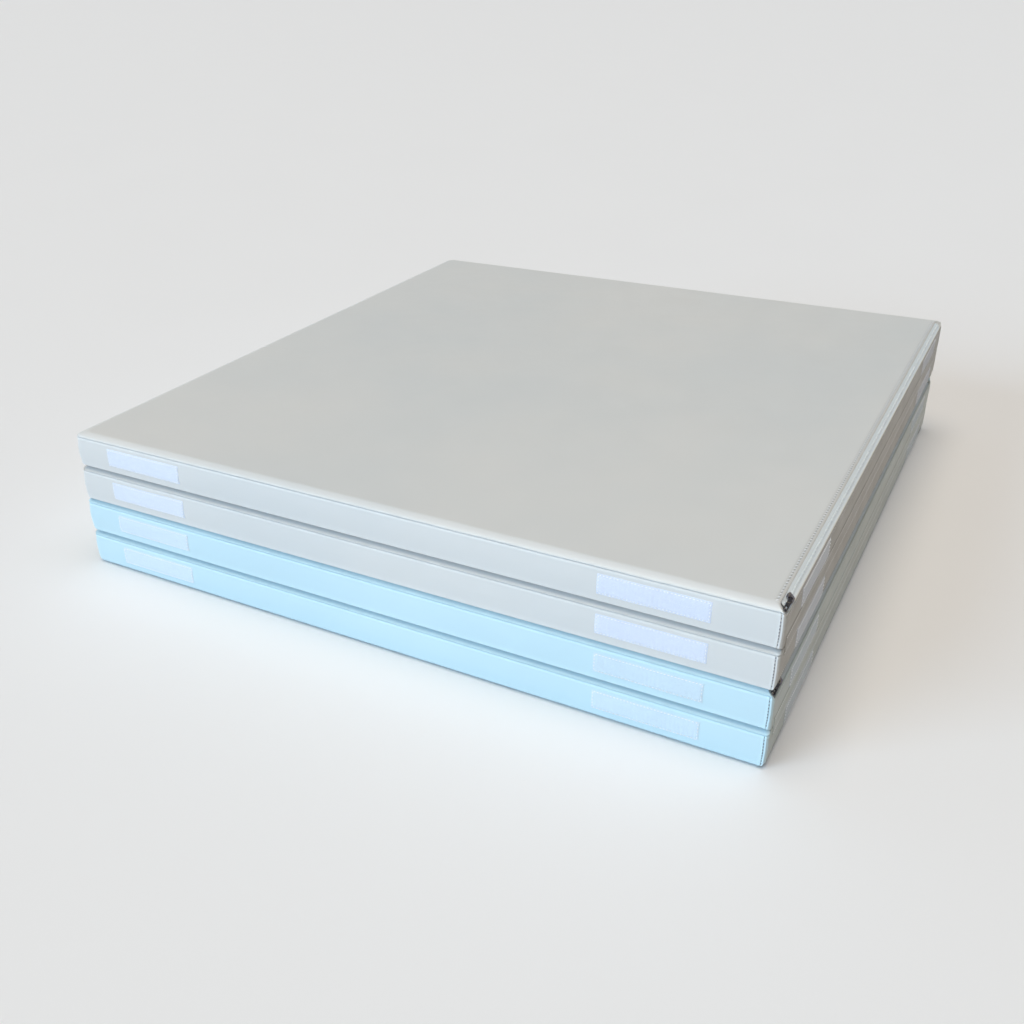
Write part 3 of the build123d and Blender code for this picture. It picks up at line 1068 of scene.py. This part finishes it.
def vinyl(name, color, warm, shade_color):
    """Satin coated cloth: fine pressed grain, soft unevenness, rubbed edges lightened as a painted
    highlight, dark seam lines with painted shade in the crevices, and painted shade on the right side.
    """
    finish = Finish(name, color, Specular_IOR_Level=0.42, Coat_Weight=0.12, Coat_Roughness=0.34)
    tone = finish.mix(finish.patches(3.2, 4, 0.0, 1.0), finish.shade(0.955), warm)
    # lighter at the lips: rubbed wear and a painted highlight
    rubbed = finish.times(finish.mark("wear"), finish.patches(45, 5, 0.35, 0.9))
    tone = finish.mix(finish.times(rubbed, 0.7), tone, finish.shade(1.22))
    # painted shade on the right side, in lengthwise streaks
    shade_streaks = finish.noise(1, 5, finish.stretched((260, 3.5, 260)))
    shaded_side = finish.times(finish.mark("side_band"), finish.ranged(shade_streaks, 0.64, 0.8))
    tone = finish.mix(shaded_side, tone, shade_color)
    # darker along the seam lines and hem stitches, and painted shade in the crevices between panels
    tone = finish.mix(finish.times(finish.mark("seam"), 0.72), tone, finish.shade(0.24))
    finish.set(Base_Color=tone)
    finish.set_roughness(28, 6, 0.36, 0.5)
    grain = finish.math("ADD", finish.cells(900), finish.times(finish.noise(2400, 2), 0.7))
    finish.add_bump(grain, 0.00006, 0.35)
    finish.add_bump(finish.noise(90, 3), 0.0002, 0.15)
    return finish.material


def woven(name, color):
    """Plain woven or knitted cloth, threads along and across."""
    finish = Finish(name, color, Sheen_Weight=1.0, Sheen_Tint=(0.75, 0.88, 1.0))
    threads = finish.times(finish.wave(420, "Y", 0.6), finish.wave(420 * 1.15, "DIAGONAL", 0.6))
    tone = finish.mix(finish.ranged(threads, 0.0, 1.0, 0, 1), finish.shade(0.95), finish.shade(1.05))
    finish.set(Base_Color=finish.mix(finish.patches(60, 4, 0.0, 0.5), tone, finish.shade(0.96)))
    finish.set_roughness(200, 3, 0.7, 0.88)
    finish.add_bump(threads, 0.00012, 0.6)
    return finish.material


def nap(name, color, scale):
    """Hooks or loops: a dense fuzzy face."""
    finish = Finish(name, color, Sheen_Weight=0.25)
    fuzz = finish.noise(scale, 6)
    tone = finish.mix(finish.ranged(fuzz, 0.0, 1.0), finish.shade(0.82), finish.shade(1.05))
    tone = finish.mix(finish.patches(140, 3, 0.0, 0.45), tone, finish.shade(0.88))
    # painted shade on the strips of the right side
    finish.set(Base_Color=finish.mix(finish.times(finish.mark("side_band"), 0.5), tone, RIGHT_STRIP_SHADE))
    finish.set_roughness(300, 3, 0.8, 0.95)
    finish.add_bump(finish.math("ADD", fuzz, finish.cells(scale * 0.8)), 0.0003, 0.8)
    return finish.material


def thread_finish(name, color):
    finish = Finish(name, color)
    twist = finish.wave(1400, "DIAGONAL", 1.0)
    finish.set(Base_Color=finish.mix(twist, finish.shade(0.9), finish.shade(1.05)))
    finish.set_roughness(500, 2, 0.5, 0.7)
    finish.add_bump(twist, 0.00006, 0.6)
    return finish.material


def nylon(name, color):
    finish = Finish(name, color)
    finish.set(Base_Color=finish.mix(finish.patches(220, 3, 0, 1), finish.shade(0.85), finish.shade(1.1)))
    finish.set_roughness(900, 3, 0.22, 0.42)
    finish.add_bump(finish.noise(1600, 2), 0.00003, 0.4)
    return finish.material


def painted_metal(name, color, chip, metallic):
    """Cast zip metal with a thin coat, rubbed through here and there."""
    finish = Finish(name, color, Metallic=metallic)
    worn = finish.ranged(finish.noise(420, 6), 0.0, 1.0, 0.56, 0.7)
    finish.set(Base_Color=finish.mix(worn, finish.color, chip))
    finish.set_roughness(800, 4, 0.22, 0.5)
    finish.add_bump(finish.noise(1500, 4), 0.00004, 0.4)
    return finish.material


# ---- studio


def add_camera():
    """Looks down at the front right corner, as the reference view does."""
    data = bpy.data.cameras.new("camera")
    data.lens = 38.56
    data.sensor_width = 36
    data.shift_x = 0.0547
    camera = bpy.data.objects.new("camera", data)
    bpy.context.scene.collection.objects.link(camera)
    azimuth, elevation, roll = np.radians([29.71, 27.27, 1.07])
    level = math.cos(elevation)
    back = Vector((math.sin(azimuth) * level, -math.cos(azimuth) * level, math.sin(elevation)))
    turn = back.to_track_quat("Z", "Y").to_matrix().to_4x4() @ Matrix.Rotation(-roll, 4, "Z")
    camera.matrix_world = Matrix.Translation((0.6704, -1.5016, 0.8006)) @ turn
    bpy.context.scene.camera = camera


def add_floor():
    size = 30.0
    corners = [(-size, -size, 0), (size, -size, 0), (size, size, 0), (-size, size, 0)]
    finish = Finish("studio_floor", (0.84, 0.83, 0.82))
    finish.set_roughness(3, 3, 0.75, 0.85)
    floor = new_piece("studio_floor", corners, [(0, 1, 2, 3)], finish.material)
    floor.location.z = -0.0002


def add_sun(name, color, strength, spread, direction):
    """A soft light from a direction, given as the way towards the light."""
    data = bpy.data.lights.new(name, "SUN")
    data.color = color
    data.energy = strength
    data.angle = math.radians(spread)
    light = bpy.data.objects.new(name, data)
    light.rotation_euler = Vector(direction).to_track_quat("Z", "Y").to_euler()
    bpy.context.scene.collection.objects.link(light)


def add_sky():
    """A soft surround: bright and cool at the front left, dim and warm at the back right.

    A pale wall stands all round near the horizon.
    """
    world = bpy.data.worlds.new("studio")
    bpy.context.scene.world = world
    world.use_nodes = True
    sky = Nodes(world.node_tree, "Generated")
    bright = Vector((-0.75, -0.45, 0.5)).normalized()
    toward = sky.feed(sky.new("VectorMath", operation="DOT_PRODUCT"), {0: sky.place, 1: bright})["Value"]
    share = sky.ranged(toward, 0.0, 1.0, -0.5, 0.9, "SMOOTHSTEP")
    color = sky.mix(share, (0.05, 0.035, 0.022), (0.26, 0.28, 0.31))
    height = sky.feed(sky.new("SeparateXYZ"), {0: sky.place})["Z"]
    wall = sky.ranged(height, 1.0, 0.0, 0.08, 0.26, "SMOOTHSTEP")
    sky.feed(sky.tree.nodes["Background"], {"Color": sky.mix(wall, color, (0.68, 0.68, 0.68))})


def add_lights():
    add_sky()
    add_sun("key", (0.6, 0.83, 1.09), 2.05, 35, (-0.6, -0.85, 0.3))
    add_sun("overhead", (1.1, 0.99, 0.82), 1.43, 40, (-0.05, -0.15, 1))
    add_sun("edge", (0.85, 0.97, 1.15), 0.45, 30, (0.35, 0.1, 1))
    bpy.context.scene.view_settings.view_transform = "Standard"


# ---- the mat

add_camera()
add_floor()
add_lights()

# the last colour given to vinyl is the painted shade of the right side
grey = vinyl("grey_vinyl", (0.675, 0.69, 0.675), (0.69, 0.685, 0.655), (0.18, 0.145, 0.1))
blue = vinyl("blue_vinyl", (0.56, 0.765, 0.84), (0.57, 0.765, 0.83), (0.37, 0.33, 0.25))
loops = {True: nap("loop_nap", (0.8, 0.86, 0.97), 1500),
         False: nap("pale_blue_loop_nap", (0.73, 0.86, 0.95), 1500)}
hooks = {True: nap("hook_nap", (0.79, 0.85, 0.98), 2100),
         False: nap("pale_blue_hook_nap", (0.7, 0.85, 0.94), 2100)}
# the zips of panels 2 to 4 are darker copies: painted shade of the crevices they lie in
tapes = {True: woven("white_twill", (0.92, 0.98, 1.0)),
         False: woven("grey_twill", (0.52, 0.53, 0.5))}
pale_thread = thread_finish("pale_thread", (0.95, 0.95, 0.96))
corner_thread = thread_finish("corner_thread", (0.13, 0.15, 0.2))
strip_thread = thread_finish("strip_thread", (1.0, 1.0, 1.0))
coils = {True: nylon("white_nylon", (0.86, 0.94, 1.0)), False: nylon("grey_nylon", (0.48, 0.49, 0.47))}
slider_paint = painted_metal("slider_paint", (0.3, 0.29, 0.33), (0.62, 0.47, 0.25), 1.0)
puller_paint = painted_metal("puller_paint", (0.03, 0.03, 0.04), (0.5, 0.42, 0.32), 0.6)


def build_panel(panel):
    """One panel's cover, strips and zip. Panel 1's zip is white; the others use darker copies, painted
    shade for the crevices they lie in.
    """
    is_grey, is_top = panel in GREY_PANELS, panel == 1
    cover, piece = build_cover(panel, grey if is_grey else blue)
    surface = surface_of(piece)
    add_stitches(f"panel_{panel}_hem_stitches", hem_stitches(cover, surface), pale_thread, panel)
    add_stitches(f"panel_{panel}_corner_stitches", corner_stitches(cover, surface), corner_thread, panel)
    for kind, naps in (("loop", loops), ("hook", hooks)):
        build_strips(panel, kind, surface, naps[is_grey], strip_thread)
    line = ZipLine(cover)
    build_tapes(line, panel, tapes[is_top])
    build_coil(line, panel, coils[is_top])
    finishes = {"zip_stops": coils[is_top], "zip_slider": slider_paint, "zip_puller": puller_paint}
    for node, finish in finishes.items():
        materials = frame["nodes"][f"panel_{panel}_{node}"].data.materials
        materials.clear()
        materials.append(finish)
    return cover


covers = {panel: build_panel(panel) for panel in PANELS}

for joint in frame["joints"]:
    if joint.get("deforming_nodes"):
        build_hinge(joint, covers, grey if joint["child"] == "panel_1" else blue, pale_thread)
